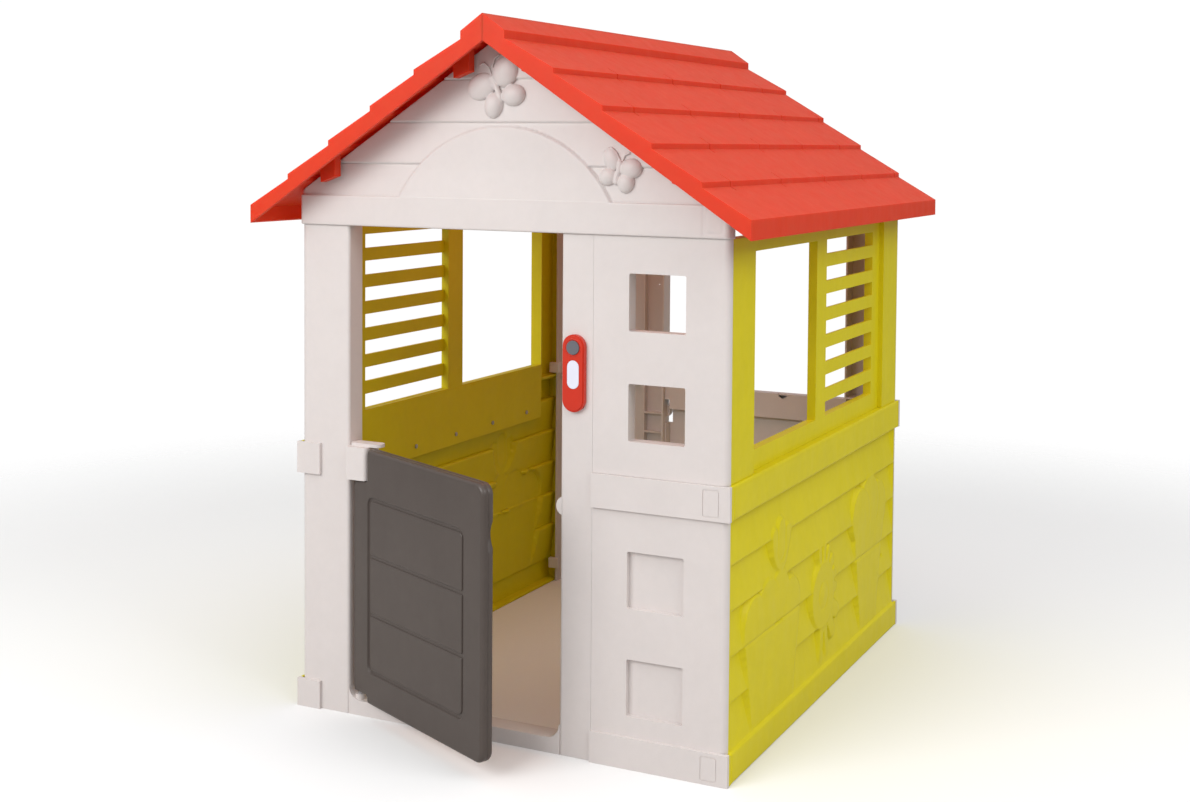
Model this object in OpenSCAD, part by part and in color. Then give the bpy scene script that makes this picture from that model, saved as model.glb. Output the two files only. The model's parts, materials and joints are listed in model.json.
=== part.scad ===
// Children's garden playhouse: two white gable walls, two lime side walls with
// louvred windows, a red tiled roof in two halves, a half door and a doorbell.
// Millimetres. +X is to the right of the front, +Y runs to the back, +Z is up.
// The origin is on the ground, under the middle of the whole, with the door ajar.

/* [Walls] */
// Width between the outer faces of the side walls
wall_w = 856; // [852:1:860]
// Depth between the outer faces of the front and back walls
wall_d = 964; // [960:1:968]
// Height of the walls under the gables
wall_h = 899; // [896:1:902]
// Thickness of the moulded skins
skin = 4; // [3.5:0.5:4.5]
// Radius of the upright outer corners
corner_r = 12; // [8:1:14]
// How far the horizontal bands stand proud of the walls
band_proud = 6; // [4:1:7]
// Top of the base band on the white walls
base_band_top = 54; // [48:1:60]
// Underside of the middle band
mid_band_low = 438; // [434:1:442]
// Top of the middle band, where the lower and upper panels meet
mid_band_top = 496; // [492:1:500]

/* [Doorway] */
// Left edge of the front doorway, measured from the middle of the house
doorway_left = -321; // [-325:1:-318]
// Right edge of the front doorway
doorway_right = 118; // [116:1:122]
// Width of the jamb between the doorway and the panel
jamb_w = 61; // [58:1:64]
// Depth of the wall round the doorway and the windows
return_d = 40; // [36:1:42]
// Height of the sill
sill_h = 27; // [24:1:29]
// Radius of the doorway's lower corners
sill_r = 25; // [20:1:26]

/* [Square windows] */
// Width of a square window or a square recess
square_w = 104; // [96:1:110]
// Height of a square window or a square recess
square_h = 97; // [90:1:104]
// Depth of a square recess
recess_d = 10; // [6:1:12]

/* [Side walls] */
// Number of planks in the lower side wall
plank_count = 5; // [4:1:6]
// How far each plank leans back from its lower edge to its top
plank_lean = 11; // [6:1:12]
// Half the distance between the two window pillars
pillar_inner = 370; // [366:1:374]
// Lower edge of the side window
side_sill_z = 532; // [530:1:536]
// Upper edge of the side window
side_head_z = 872; // [868:1:874]
// Depth of the window frame
frame_d = 17; // [14:1:18]
// Width of the post between the open half and the louvres
mullion_w = 56; // [50:1:60]
// Number of louvre slats
slat_count = 6; // [5:1:7]
// Height of one slat
slat_h = 25; // [20:1:28]

/* [Roof] */
// Width over the eaves
roof_w = 980; // [976:1:984]
// Length along the ridge
roof_l = 1100; // [1096:1:1104]
// Height of the ridge
ridge_z = 1270; // [1268:1:1272]
// Height of the eave's top edge
eave_z = 935; // [933:1:937]
// Height of the eave's lower edge
eave_low_z = 902; // [901:1:904]
// Thickness of the tile sheet
tile_t = 5; // [4:1:6]
// Height of the step between two tile courses
course_step = 9; // [6:1:10]
// Spacing of the upright joints along a course
tile_pitch = 237; // [220:1:250]

/* [Half door] */
// Length of the leaf from the hinge axis to the free edge
leaf_l = 410.7; // [405:0.1:412]
// Thickness of the leaf
leaf_t = 24; // [22:1:24]
// Underside of the leaf
leaf_low = 31; // [30:1:34]
// Top of the leaf
leaf_top = 496; // [492:1:496]
// How far the door stands open
open_angle = 24.2; // [0:0.1:100]
// Radius of the hinge pins
pin_r = 4; // [3.5:0.5:4.5]

/* [Doorbell] */
// Height of the middle of the bell plate
bell_z = 663; // [650:1:676]
// Length of the bell plate
bell_l = 132; // [126:1:138]
// Width of the bell plate
bell_w = 42; // [40:1:44]
// Radius of the push button
button_r = 12; // [10:0.5:12]
// Gap round the push button
button_gap = 0.35; // [0.3:0.05:0.5]

/* [Hidden] */
$fn = 64;

white_plastic = [0.90, 0.87, 0.86];
lime_plastic = [0.81, 0.77, 0.21];
red_plastic = [0.90, 0.33, 0.24];
grey_plastic = [0.36, 0.33, 0.31];
bell_red = [0.80, 0.22, 0.15];
button_grey = [0.42, 0.42, 0.44];
card_blue = [0.88, 0.88, 0.94];
steel = [0.70, 0.70, 0.72];
green_board = [0.12, 0.42, 0.22];

// The middle of the walls lies this far behind the origin.
walls_y = 48;

half_w = wall_w / 2;
half_d = wall_d / 2;
front_y = -half_d;
fit = 0.3;
jamb_right = doorway_right + jamb_w;
rib_x = half_w - 28;
side_start = half_d - corner_r;
lap_y = front_y + corner_r;
shallow_d = 20;

square_x = 246 + square_w / 2;
window_zs = [788, 603];
recess_zs = [320, 137];
cap_w = 30;
cap_line = 2;

plank_low = 56;
plank_pitch = (mid_band_low - plank_low) / plank_count;
frame_face = half_w - 10;
slat_pitch = (side_head_z - side_sill_z + slat_h) / (slat_count + 1);
stile_y = 322;
skirt_low = 408;
skirt_x = half_w - 28;

// The underside of the roof is the line z = under_z0 - under_k * |x|.
under_z0 = 1224;
under_k = (under_z0 - eave_low_z) / (roof_w / 2);
course_xs = [43, 137, 228, 317, 406];
roof_half = roof_w / 2;
fascia_t = 8;
clip_xs = [70, 352];
course_count = len(course_xs);

hinge_x = -304;
hinge_y = front_y + leaf_t / 2;
notch_s = 39;
notch_z = 436;
foot_z = leaf_low + 14;
bush_h = 30;
leaf_skin = 3;
pad_s = [44, 356];
pad_z = [90, 412];
catch_z = 410;

bell_x = 146;
button_z = bell_z + 44;
card_z = bell_z - 2;
plate_t = 10;
plate_front = front_y - plate_t;
button_face = plate_front - 2;
screw_zs = [bell_z - 60, bell_z + 61];
housing_front = front_y + skin;
housing_back = front_y + 32;
housing_x = [bell_x - 20, bell_x + 23];
housing_z = [598, 730];
board_y = front_y + 18;
board_t = 1.6;
board_post_zs = [668, 712];
cover_x = [bell_x - 12, bell_x + 15];
cover_z = [610, 630];
gable_screw_xs = [-360, 148, 230, 370];
skirt_screw_ys = [-300:150:300];
gable_rise = 18;
band_in = half_w + band_proud - skin;

// ---- helpers -------------------------------------------------------------

// Plate in the XZ plane, from y_front to y_front + depth
module wall_plate(y_front, depth) {
    translate([0, y_front + depth, 0]) rotate([90, 0, 0]) linear_extrude(depth) children();
}

// Plate in the YZ plane, from x_low to x_low + depth
module side_plate(x_low, depth) {
    translate([x_low, 0, 0]) rotate([90, 0, 90]) linear_extrude(depth) children();
}

// Rectangle with round corners
module round_rect(x0, y0, w, h, r) {
    translate([x0 + r, y0]) square([w - 2 * r, h]);
    translate([x0, y0 + r]) square([w, h - 2 * r]);
    for (px = [x0 + r, x0 + w - r], py = [y0 + r, y0 + h - r]) translate([px, py]) circle(r);
}

// Plan outline from x0 to x1 and y0 to y1, with round front corners
module plan_block(x0, x1, y0, y1, rl, rr) {
    translate([x0 + rl, y0]) square([x1 - x0 - rl - rr, y1 - y0]);
    translate([x0, y0 + rl]) square([rl + 1, y1 - y0 - rl]);
    translate([x1 - rr - 1, y0 + rr]) square([rr + 1, y1 - y0 - rr]);
    if (rl > 0) translate([x0 + rl, y0 + rl]) circle(rl);
    if (rr > 0) translate([x1 - rr, y0 + rr]) circle(rr);
}

module turned() { rotate([0, 0, 180]) children(); }

module placed() { translate([0, walls_y, 0]) children(); }

// Proud band block that wraps round the outer corner at x = side * half_w
module corner_band(z0, z1, x_in, side) {
    x_out = side * (half_w + band_proud);
    low_x = min(x_in, x_out);
    translate([0, 0, z0]) linear_extrude(z1 - z0) {
        translate([low_x, front_y - band_proud]) square([abs(x_out - x_in), band_proud]);
        translate([side > 0 ? half_w : -half_w - band_proud, front_y - band_proud])
            square([band_proud, band_proud + 2]);
    }
}

// ---- front wall, and the back wall as the same mouldings turned round ------

module post() {
    post_right = doorway_left - fit;
    color(white_plastic) difference() {
        union() {
            linear_extrude(wall_h) post_plan(post_right);
            corner_band(0, base_band_top - 2, -383, -1);
            corner_band(mid_band_low, mid_band_top, -383, -1);
            for (z = [0, mid_band_top, wall_h - skin]) post_shelf(z, post_right);
        }
        gable_screw_holes();
    }
}

// Plan of the post: skin, two returns and the rib beside the side wall
module post_plan(post_right) {
    difference() {
        plan_block(-half_w, post_right, front_y, front_y + return_d, corner_r, 6);
        translate([-half_w - 1, lap_y]) square([half_w - rib_x + 1, return_d]);
        translate([-rib_x + skin, front_y + skin])
            square([post_right + rib_x - 2 * skin, return_d]);
        translate([-half_w + skin, front_y + skin])
            square([half_w - rib_x - skin, corner_r - skin + 1]);
    }
}

// Holes for the upright screws that join a gable to the wall under it
module gable_screw_holes() {
    for (x = gable_screw_xs)
        translate([x, front_y + shallow_d / 2 + 2, wall_h - 6]) cylinder(h = 14, r = 2);
}

// Cross rib inside the post
module post_shelf(z, post_right) {
    translate([-rib_x + skin, front_y + skin, z])
        cube([post_right + rib_x - 2 * skin, return_d - skin, skin]);
}

module door_frame(bell_opening) {
    color(white_plastic) difference() {
        union() {
            linear_extrude(wall_h) jamb_plan();
            sill();
            for (z = [0, 376, 421, wall_h - skin])
                translate([doorway_right + skin - 1, front_y + skin - 1, z])
                    cube([jamb_w - 2 * skin + 2, shallow_d - skin, skin]);
            catch_bump();
        }
        gable_screw_holes();
        for (z = screw_zs) translate([bell_x, front_y - 1, z]) rotate([-90, 0, 0])
            cylinder(h = skin + 2, r = 1.75);
        if (bell_opening) translate([bell_x, front_y - 1, button_z]) rotate([-90, 0, 0])
            cylinder(h = skin + 2, r = button_r + 1.5);
    }
}

module jamb_plan() {
    difference() {
        plan_block(doorway_right, jamb_right, front_y, front_y + return_d, 6, 0);
        translate([doorway_right + skin, front_y + skin]) square([jamb_w - 2 * skin, return_d]);
        translate([jamb_right - skin - 1, front_y + shallow_d]) square([skin + 2, return_d]);
    }
}

// Threshold with rounded ends and a boss for the lower hinge pin
module sill() {
    difference() {
        union() {
            wall_plate(front_y, return_d) difference() {
                translate([doorway_left, 0])
                    square([doorway_right - doorway_left + 1, sill_h + sill_r]);
                round_rect(doorway_left, sill_h, doorway_right - doorway_left, 200, sill_r);
            }
            translate([hinge_x, hinge_y, sill_h - 1]) cylinder(h = 11.5, r = 9);
        }
        translate([doorway_left + skin, front_y + skin, -1])
            cube([hinge_x - 14 - doorway_left - skin, return_d - 2 * skin, sill_h - skin + 1]);
        translate([hinge_x + 14, front_y + skin, -1])
            cube([doorway_right - hinge_x - 14 - skin, return_d - 2 * skin, sill_h - skin + 1]);
        translate([hinge_x, hinge_y, 8]) cylinder(h = 60, r = pin_r);
    }
}

// Rounded bump that the free edge of the door clicks past
module catch_bump() {
    intersection() {
        translate([doorway_right + 8, front_y + 10, 432]) rotate([90, 0, 0])
            cylinder(h = 20, r = 17, center = true);
        translate([doorway_right - 12, front_y + 2, 410]) cube([14, 16, 44]);
    }
}

// Outlined caps cut into the bands beside the corner
module cap_outline(z0, z1) {
    wall_plate(front_y - band_proud - 1, 2) difference() {
        round_rect(half_w - 43, z0 + 6, cap_w, z1 - z0 - 12, 4);
        round_rect(half_w - 43 + cap_line, z0 + 6 + cap_line, cap_w - 2 * cap_line,
            z1 - z0 - 12 - 2 * cap_line, 3);
    }
}

// Tray section shared by both panels, between the jamb and the corner
module panel_plan(left_x) {
    difference() {
        plan_block(left_x, half_w, front_y, front_y + return_d, 0, corner_r);
        translate([rib_x, lap_y]) square([half_w - rib_x + 1, return_d]);
        translate([left_x + skin, front_y + skin])
            square([rib_x - left_x - 2 * skin, return_d]);
        translate([rib_x - 1, front_y + skin]) square([half_w - rib_x - skin + 1, corner_r]);
        translate([left_x - 1, front_y + shallow_d]) square([skin + 2, return_d]);
    }
}

module lower_panel() {
    left_x = jamb_right + fit;
    color(white_plastic) difference() {
        union() {
            linear_extrude(mid_band_top) panel_plan(left_x);
            wall_plate(front_y - band_proud, band_proud) {
                translate([left_x, 0]) square([half_w - left_x, base_band_top]);
                translate([left_x, mid_band_low])
                    square([half_w - left_x, mid_band_top - mid_band_low]);
            }
            corner_band(0, base_band_top, half_w - 40, 1);
            corner_band(mid_band_low, mid_band_top, half_w - 40, 1);
            for (z = recess_zs) square_box(z, recess_d + skin);
            for (z = [0, mid_band_top - skin])
                translate([left_x + 1, front_y + skin - 1, z])
                    cube([rib_x - left_x - 2, shallow_d, skin]);
        }
        for (z = recess_zs)
            wall_plate(front_y - 1, recess_d + 1)
                round_rect(square_x - square_w / 2, z - square_h / 2, square_w, square_h, 3);
        cap_outline(0, base_band_top);
        cap_outline(mid_band_low, mid_band_top);
    }
}

// Solid block behind a square recess or window
module square_box(z, depth) {
    wall_plate(front_y + 1, depth - 1)
        round_rect(square_x - square_w / 2 - skin, z - square_h / 2 - skin,
            square_w + 2 * skin, square_h + 2 * skin, 4);
}

module upper_panel() {
    left_x = jamb_right + fit;
    panel_h = wall_h - mid_band_top - fit;
    color(white_plastic) difference() {
        union() {
            translate([0, 0, mid_band_top + fit]) linear_extrude(panel_h) panel_plan(left_x);
            for (z = window_zs) square_box(z, 26);
            for (z = [mid_band_top + fit, wall_h - skin])
                translate([left_x + 1, front_y + skin - 1, z])
                    cube([rib_x - left_x - 2, shallow_d, skin]);
        }
        for (z = window_zs)
            wall_plate(front_y - 5, return_d + 10)
                round_rect(square_x - square_w / 2, z - square_h / 2, square_w, square_h, 3);
        gable_screw_holes();
    }
}

// Outline of the gable under the roof, moved in by gap
module gable_outline(gap) {
    eave_side_z = under_z0 - under_k * half_w;
    polygon([
        [-half_w + gap, wall_h + fit + gap], [half_w - gap, wall_h + fit + gap],
        [half_w - gap, eave_side_z + gable_rise - gap], [0, under_z0 + gable_rise - gap * 1.2],
        [-half_w + gap, eave_side_z + gable_rise - gap]
    ]);
}

module gable() {
    band_top = 954;
    board_zs = [1013, 1087, 1162];
    plaque_r = 241;
    color(white_plastic) difference() {
        union() {
            difference() {
                wall_plate(front_y, shallow_d) gable_outline(0);
                wall_plate(front_y + skin, shallow_d) gable_outline(skin);
                for (z = board_zs)
                    translate([-half_w - 1, front_y - 1, z - 1.5]) cube([wall_w + 2, 2.5, 2.5]);
            }
            wall_plate(front_y - band_proud, band_proud) intersection() {
                gable_outline(0);
                translate([-half_w, wall_h]) square([wall_w, band_top - wall_h]);
            }
            wall_plate(front_y - 2, 4) intersection() {
                translate([0, 839]) circle(plaque_r, $fn = 128);
                translate([-half_w, band_top]) square([wall_w, 200]);
            }
            butterfly(-14, 1141, 27, 1.15);
            butterfly(220, 1008, -8, 0.92);
        }
        wall_plate(front_y - band_proud - 1, 2) difference() {
            round_rect(half_w - 43, wall_h + 9, cap_w, 38, 4);
            round_rect(half_w - 41, wall_h + 11, cap_w - 4, 34, 3);
        }
        translate([half_w - 47, front_y - band_proud - 1, wall_h - 1]) cube([1.5, 2, 90]);
        gable_screw_holes();
    }
}

// Four round wing lobes, a body and two feelers, raised from the gable
module butterfly(x, z, tilt, size) {
    lobes = [[-34, 14, 17], [30, 20, 19], [27, -20, 15], [-18, -30, 14]];
    translate([x, front_y + 1, z]) rotate([90, 0, 0]) rotate([0, 0, tilt]) scale(size) {
        for (lobe = lobes) translate([lobe[0], lobe[1], 0]) cylinder(h = 9, r = lobe[2]);
        linear_extrude(7) round_rect(-4, -26, 8, 52, 3.9);
        for (s = [-1, 1]) translate([0, 22, 0]) rotate([0, 0, -25 * s])
            linear_extrude(4) round_rect(-1.5, 0, 3, 20, 1.4);
    }
}

// Fixed panel that closes the lower half of the back doorway
module infill_panel() {
    infill_top = 494;
    x0 = doorway_left + fit;
    w = doorway_right - fit - x0;
    y0 = front_y + 6;
    color(white_plastic) difference() {
        wall_plate(y0, 24) intersection() {
            round_rect(x0, sill_h + fit, w, 700, sill_r);
            translate([x0 - 1, 0]) square([w + 2, infill_top]);
        }
        translate([x0 + skin, y0 + skin, sill_h + sill_r])
            cube([w - 2 * skin, 30, mid_band_low - sill_h - sill_r]);
        translate([x0 + skin, y0 + skin, mid_band_low + skin])
            cube([w - 2 * skin, 16, infill_top - mid_band_low - 2 * skin]);
        translate([-173, y0 + 19, infill_top]) rotate([-90, 0, 0]) cylinder(h = 10, r = 11);
        translate([doorway_right - 12, front_y, 404]) cube([14, 40, 56]);
        translate([hinge_x, hinge_y, 0]) cylinder(h = sill_h + 12, r = 9.6);
    }
}

// ---- side walls -----------------------------------------------------------

// Right lower wall in section (x, z): outer face, then the inner face back down
function plank_face(inset) = [
    for (i = [0:plank_count - 1]) each [
        [half_w - inset, plank_low + inset + i * plank_pitch],
        [half_w - plank_lean - inset, plank_low + inset + (i + 1) * plank_pitch]
    ]
];

module lower_wall() {
    outer = concat(
        [[band_in, 0], [half_w + band_proud, 0], [half_w + band_proud, plank_low - 4]],
        plank_face(0),
        [[half_w + band_proud, mid_band_low], [half_w + band_proud, mid_band_top],
         [band_in, mid_band_top]]
    );
    inner_faces = plank_face(skin);
    inner = [
        [band_in, mid_band_low + skin],
        for (i = [len(inner_faces) - 1:-1:0]) inner_faces[i],
        [band_in, plank_low - 2 * skin]
    ];
    half_run = side_start - fit;
    color(lime_plastic) difference() {
        union() {
            wall_plate(-half_run, 2 * half_run) polygon(concat(outer, inner));
            for (z = [0, mid_band_top - skin]) translate([skirt_x + skin + fit, -half_run, z])
                cube([band_in + 1 - skirt_x - skin - fit, 2 * half_run, skin]);
            for (y = [-half_run, half_run - skin]) wall_plate(y, skin)
                polygon(concat(outer, [[rib_x + fit, mid_band_top], [rib_x + fit, 0]]));
            for (s = [-1, 1]) band_end(s, mid_band_low, mid_band_top);
            for (s = [-1, 1]) band_end(s, 0, plank_low - 4);
            for (y = skirt_screw_ys) translate([skirt_x + skin + fit, y, 430])
                rotate([0, 90, 0]) cylinder(h = 11, r = 6);
            garden_relief();
        }
        for (y = skirt_screw_ys) translate([skirt_x, y, 430]) rotate([0, 90, 0])
            cylinder(h = 13, r = 2);
    }
}

// End of a band, lying over the white corner; s is the end, -1 at the front
module band_end(s, z0, z1) {
    y0 = s > 0 ? side_start - 1 : -half_d + 2.5;
    translate([half_w + fit, y0, z0]) cube([band_proud - fit, corner_r - 1.5, z1 - z0]);
}

// Raised pots, shrubs, a tulip and a daisy on the planks
module garden_relief() {
    relief_x = half_w - plank_lean - skin / 2;
    side_plate(relief_x, half_w + 3 - relief_x) {
        pot(-392, 62, 30, 78);
        shrub(-372, 214, 64);
        pot(241, 62, 30, 78);
        shrub(262, 290, 58);
        tulip(-229, 330);
        daisy(14, 186);
    }
}

module pot(y, z, w, h) {
    polygon([[y - w * 0.7, z], [y + w * 0.7, z], [y + w, z + h], [y - w, z + h]]);
    round_rect(y - w * 1.2, z + h - 2, w * 2.4, 20, 5);
}

module shrub(y, z, r) {
    translate([y, z]) circle(r * 0.75);
    for (a = [20:50:160]) translate([y + r * 0.7 * cos(a), z + r * 0.7 * sin(a)]) circle(r * 0.38);
}

module tulip(y, z) {
    translate([y, z]) circle(30);
    for (a = [-1, 0, 1]) translate([y + 22 * a, z + 26]) polygon([[-13, -12], [13, -12], [0, 30]]);
    translate([y - 3, 165]) square([6, z - 165]);
}

module daisy(y, z) {
    petals = 10;
    translate([y, z]) circle(34);
    for (i = [0:petals - 1])
        translate([y + 58 * cos(i * 360 / petals), z + 58 * sin(i * 360 / petals)]) circle(19);
    translate([y - 5, 62]) square([10, z - 100]);
}

// Window frame over the lower wall: pillars, rails, mullion and louvres
module window_frame() {
    z0 = mid_band_top + fit;
    color(lime_plastic) {
        difference() {
            union() {
                for (s = [-1, 1]) pillar(s);
                side_plate(frame_face - frame_d, frame_d) difference() {
                    translate([-pillar_inner - 1, z0])
                        square([2 * pillar_inner + 2, wall_h - z0]);
                    translate([-pillar_inner, side_sill_z])
                        square([pillar_inner - mullion_w / 2, side_head_z - side_sill_z]);
                    for (i = [0:slat_count]) louvre_gap(i);
                }
                side_plate(skirt_x, skin)
                    translate([-pillar_inner, skirt_low]) square([2 * pillar_inner, 120]);
            }
            translate([frame_face - frame_d - 1, mullion_w / 2, side_sill_z - 1])
                cube([frame_d - 6 + 1, stile_y - mullion_w / 2, side_head_z - side_sill_z + 2]);
            for (y = skirt_screw_ys) translate([skirt_x - 1, y, 430]) rotate([0, 90, 0])
                cylinder(h = skin + 2, r = 2);
        }
    }
}

// Opening between two slats
module louvre_gap(i) {
    translate([mullion_w / 2, side_sill_z + i * slat_pitch])
        square([stile_y - mullion_w / 2, slat_pitch - slat_h]);
}

// Hollow corner pillar of the window frame
module pillar(s) {
    y0 = s > 0 ? pillar_inner : -side_start + fit;
    w = side_start - fit - pillar_inner;
    z0 = mid_band_top + fit;
    translate([0, 0, z0]) linear_extrude(wall_h - z0) difference() {
        translate([frame_face - frame_d, y0]) square([frame_d + 10, w]);
        translate([frame_face - frame_d - 1, y0 + skin]) square([frame_d + 11 - skin, w - 2 * skin]);
    }
    for (z = [z0, wall_h - skin]) translate([frame_face - frame_d, y0, z])
        cube([frame_d + 6, w, skin]);
}

// ---- roof -----------------------------------------------------------------

// Points of the stepped outer face of the right half, from the ridge to the eave
function course_top(x) = ridge_z - (ridge_z - eave_z) * x / roof_half;
function step_of(i) = i == 0 ? course_step + 5 : course_step;
function roof_face(drop, back) = [
    [0.2, ridge_z - drop],
    for (i = [0:course_count - 1]) each [
        [course_xs[i] - back, course_top(course_xs[i]) - drop],
        [course_xs[i] - back, course_top(course_xs[i]) - step_of(i) - drop]
    ],
    [roof_half - back, eave_z - drop]
];

module roof_half_solid() {
    outer = roof_face(0, 0);
    inner = roof_face(tile_t, skin);
    last = len(inner) - 1;
    sheet = concat(outer,
        [[roof_half, eave_low_z], [roof_half - skin, eave_low_z + 3]],
        [for (i = [last:-1:0]) inner[i]]);
    difference() {
        union() {
            wall_plate(-roof_l / 2, roof_l) polygon(sheet);
            for (y = [-roof_l / 2, roof_l / 2 - fascia_t]) wall_plate(y, fascia_t)
                polygon(concat(outer, [[roof_half, eave_low_z], [0.2, under_z0]]));
            for (y = [front_y + shallow_d + 6, -3, half_d - shallow_d - 12])
                wall_plate(y, 6) roof_rib();
            roof_lugs();
        }
        for (row = [0:course_count - 2]) tile_joints(row); // the eave's own edge has none
        for (x = clip_xs, s = [-1, 1]) clip_slot(x, s * (half_d - 12));
        clip_slot(440, 0);
    }
}

// Everything between the ground and the middle of the tile sheet
module under_roof() {
    polygon(concat(roof_face(2, 2), [[roof_half - 2, 800], [0.2, 800]]));
}

// Rib under the tile sheet
module roof_rib() {
    rib_end = roof_half - 50;
    intersection() {
        under_roof();
        polygon([[0.2, ridge_z], [rib_end, ridge_z], [rib_end, under_z0 + 6 - under_k * rib_end],
                 [0.2, under_z0 + 6]]);
    }
}

// Blocks that hook over the outside of each gable
module roof_lugs() {
    for (x = clip_xs, s = [-1, 1]) {
        y0 = s > 0 ? half_d + band_proud + 2 : -half_d - band_proud - 20;
        z = under_z0 - under_k * x;
        wall_plate(y0, 18) intersection() {
            under_roof();
            translate([x, z]) polygon([[-18, 80], [18, 80], [13, -15], [-18, -4]]);
        }
    }
}

// Upright joints at the lower edge of a course, staggered from row to row
module tile_joints(row) {
    shift = row % 2 == 0 ? -76 : 42;
    x = course_xs[row + 1];
    for (k = [-2:2]) if (abs(shift + k * tile_pitch) < roof_l / 2 - 20)
        translate([x - 24, shift + k * tile_pitch - 1.5, course_top(x) - 2])
            rotate([0, 34, 0]) translate([-4, 0, 3]) cube([40, 3, 20]);
}

// Short slanting slot over a clip
module clip_slot(x, y) {
    translate([x, y, course_top(x)]) rotate([0, 34, 0]) rotate([0, 0, 35])
        translate([-14, -2, -2]) cube([28, 4, 20]);
}

// Bar clips between the gables and the roof ribs
module clip_bars() {
    for (side = [-1, 1], x = clip_xs, s = [-1, 1]) {
        y0 = s > 0 ? half_d - shallow_d - 6 : -half_d + shallow_d + fit;
        translate([side * x - 9, y0, under_z0 - under_k * x - 6]) cube([18, 6 - fit, 20]);
    }
}

// ---- half door ------------------------------------------------------------

module door_place() {
    translate([hinge_x, hinge_y, 0]) rotate([0, 0, -open_angle]) children();
}

// Elevation of the leaf (s, z), moved in by gap
module leaf_outline(gap) {
    difference() {
        round_rect(-leaf_t / 2 + gap, leaf_low + gap, leaf_l + leaf_t / 2 - 2 * gap,
            leaf_top - leaf_low - 2 * gap, 20 - gap);
        translate([-leaf_t, notch_z - gap]) square([leaf_t + notch_s + gap, 100]);
        translate([-leaf_t, 0]) square([leaf_t + notch_s + gap, foot_z + gap]);
    }
}

// Plan of the leaf (s, y), moved in by gap, round at both ends
module leaf_plan(gap) {
    r = leaf_t / 2 - gap;
    circle(r);
    translate([0, -r]) square([leaf_l - 9 - gap, 2 * r]);
    translate([leaf_l - 10 - gap, -r + 8]) square([10, 2 * r - 16]);
    for (s = [-1, 1]) translate([leaf_l - 8 - gap, s * (r - 8)]) circle(8);
}

module leaf_solid(gap) {
    intersection() {
        translate([0, leaf_t / 2, 0]) rotate([90, 0, 0]) linear_extrude(leaf_t) leaf_outline(gap);
        linear_extrude(600) leaf_plan(gap);
    }
}

// One half of the leaf: side -1 is the outer shell, +1 the inner shell
module leaf_shell(side) {
    difference() {
        leaf_solid(0);
        difference() {
            leaf_solid(leaf_skin);
            if (side < 0) translate([pad_s[0] - 8, -leaf_t / 2 - 1, pad_z[0] - 8])
                cube([pad_s[1] - pad_s[0] + 16, 7, pad_z[1] - pad_z[0] + 16]);
            if (side > 0) finger_notch(37);
        }
        translate([-50, side > 0 ? -50 + fit / 2 : -fit / 2, 0]) cube([600, 50, 600]);
        for (z = [foot_z - 20, notch_z - 20]) cylinder_at(z, 40, pin_r + 1);
        if (side > 0) finger_notch(34);
        if (side < 0) pads_cut();
    }
}

module cylinder_at(z, h, r) { translate([0, 0, z]) cylinder(h = h, r = r); }

module finger_notch(r) {
    translate([leaf_l + 22, 0, catch_z]) rotate([-90, 0, 0]) cylinder(h = 30, r = r);
}

// Recess with three raised pads between its two cross grooves
module pads_cut() {
    groove_zs = [198, 304];
    y0 = -leaf_t / 2 - 1;
    wall_plate(y0, 3.5) difference() {
        round_rect(pad_s[0], pad_z[0], pad_s[1] - pad_s[0], pad_z[1] - pad_z[0], 16);
        round_rect(pad_s[0] + 8, pad_z[0] + 8, pad_s[1] - pad_s[0] - 16,
            pad_z[1] - pad_z[0] - 16, 10);
    }
    wall_plate(y0, 3.5) for (z = groove_zs)
        translate([pad_s[0] + 4, z - 3]) square([pad_s[1] - pad_s[0] - 8, 6]);
    wall_plate(y0, 2) round_rect(pad_s[0] + 4, pad_z[0] + 4, pad_s[1] - pad_s[0] - 8,
        pad_z[1] - pad_z[0] - 8, 12);
}

module bushes() {
    for (z = [foot_z + leaf_skin, notch_z - leaf_skin - bush_h]) difference() {
        cylinder_at(z, bush_h, leaf_t / 2 - leaf_skin - 0.1);
        cylinder_at(z - 1, bush_h + 2, pin_r + 0.05);
    }
}

module pins() {
    translate([hinge_x, hinge_y, 0]) {
        cylinder_at(8, foot_z + bush_h - 8, pin_r);
        cylinder_at(notch_z - leaf_skin - 24, 72, pin_r);
    }
}

// Upper hinge block on the post, with a tongue over the door's corner
module hinge_block_solid() {
    difference() {
        union() {
            translate([0, 0, notch_z + 1.2]) linear_extrude(leaf_top - notch_z + 0.3)
                plan_block(doorway_left, -276, front_y - 12, front_y + 28, 3, 8);
            translate([0, 0, leaf_top + 1]) linear_extrude(6)
                round_rect(doorway_left, front_y, 66, leaf_t, 10);
        }
        translate([hinge_x, hinge_y, notch_z - 10]) cylinder(h = 59, r = pin_r);
    }
}

// ---- doorbell -------------------------------------------------------------

// Oblong with round ends in the XZ plane
module oblong(w, l, z) {
    r = w / 2;
    translate([bell_x - r, z - l / 2 + r]) square([w, l - w]);
    for (s = [-1, 1]) translate([bell_x, z + s * (l / 2 - r)]) circle(r);
}

module plate_solid() {
    difference() {
        union() {
            wall_plate(plate_front + 2, plate_t - 2) oblong(bell_w, bell_l, bell_z);
            wall_plate(plate_front, 3) oblong(bell_w - 5, bell_l - 5, bell_z);
        }
        wall_plate(plate_front + 4, plate_t) difference() {
            oblong(bell_w - 6, bell_l - 6, bell_z);
            for (z = screw_zs) translate([bell_x, z]) circle(3.4);
        }
        wall_plate(plate_front - 1, 2.5) oblong(23, 49, card_z);
        translate([bell_x, front_y + 1, button_z]) rotate([90, 0, 0])
            cylinder(h = 30, r = button_r + button_gap);
        for (z = screw_zs) translate([bell_x, front_y + 1, z]) rotate([90, 0, 0])
            cylinder(h = 7, r = 1.5);
    }
}

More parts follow.
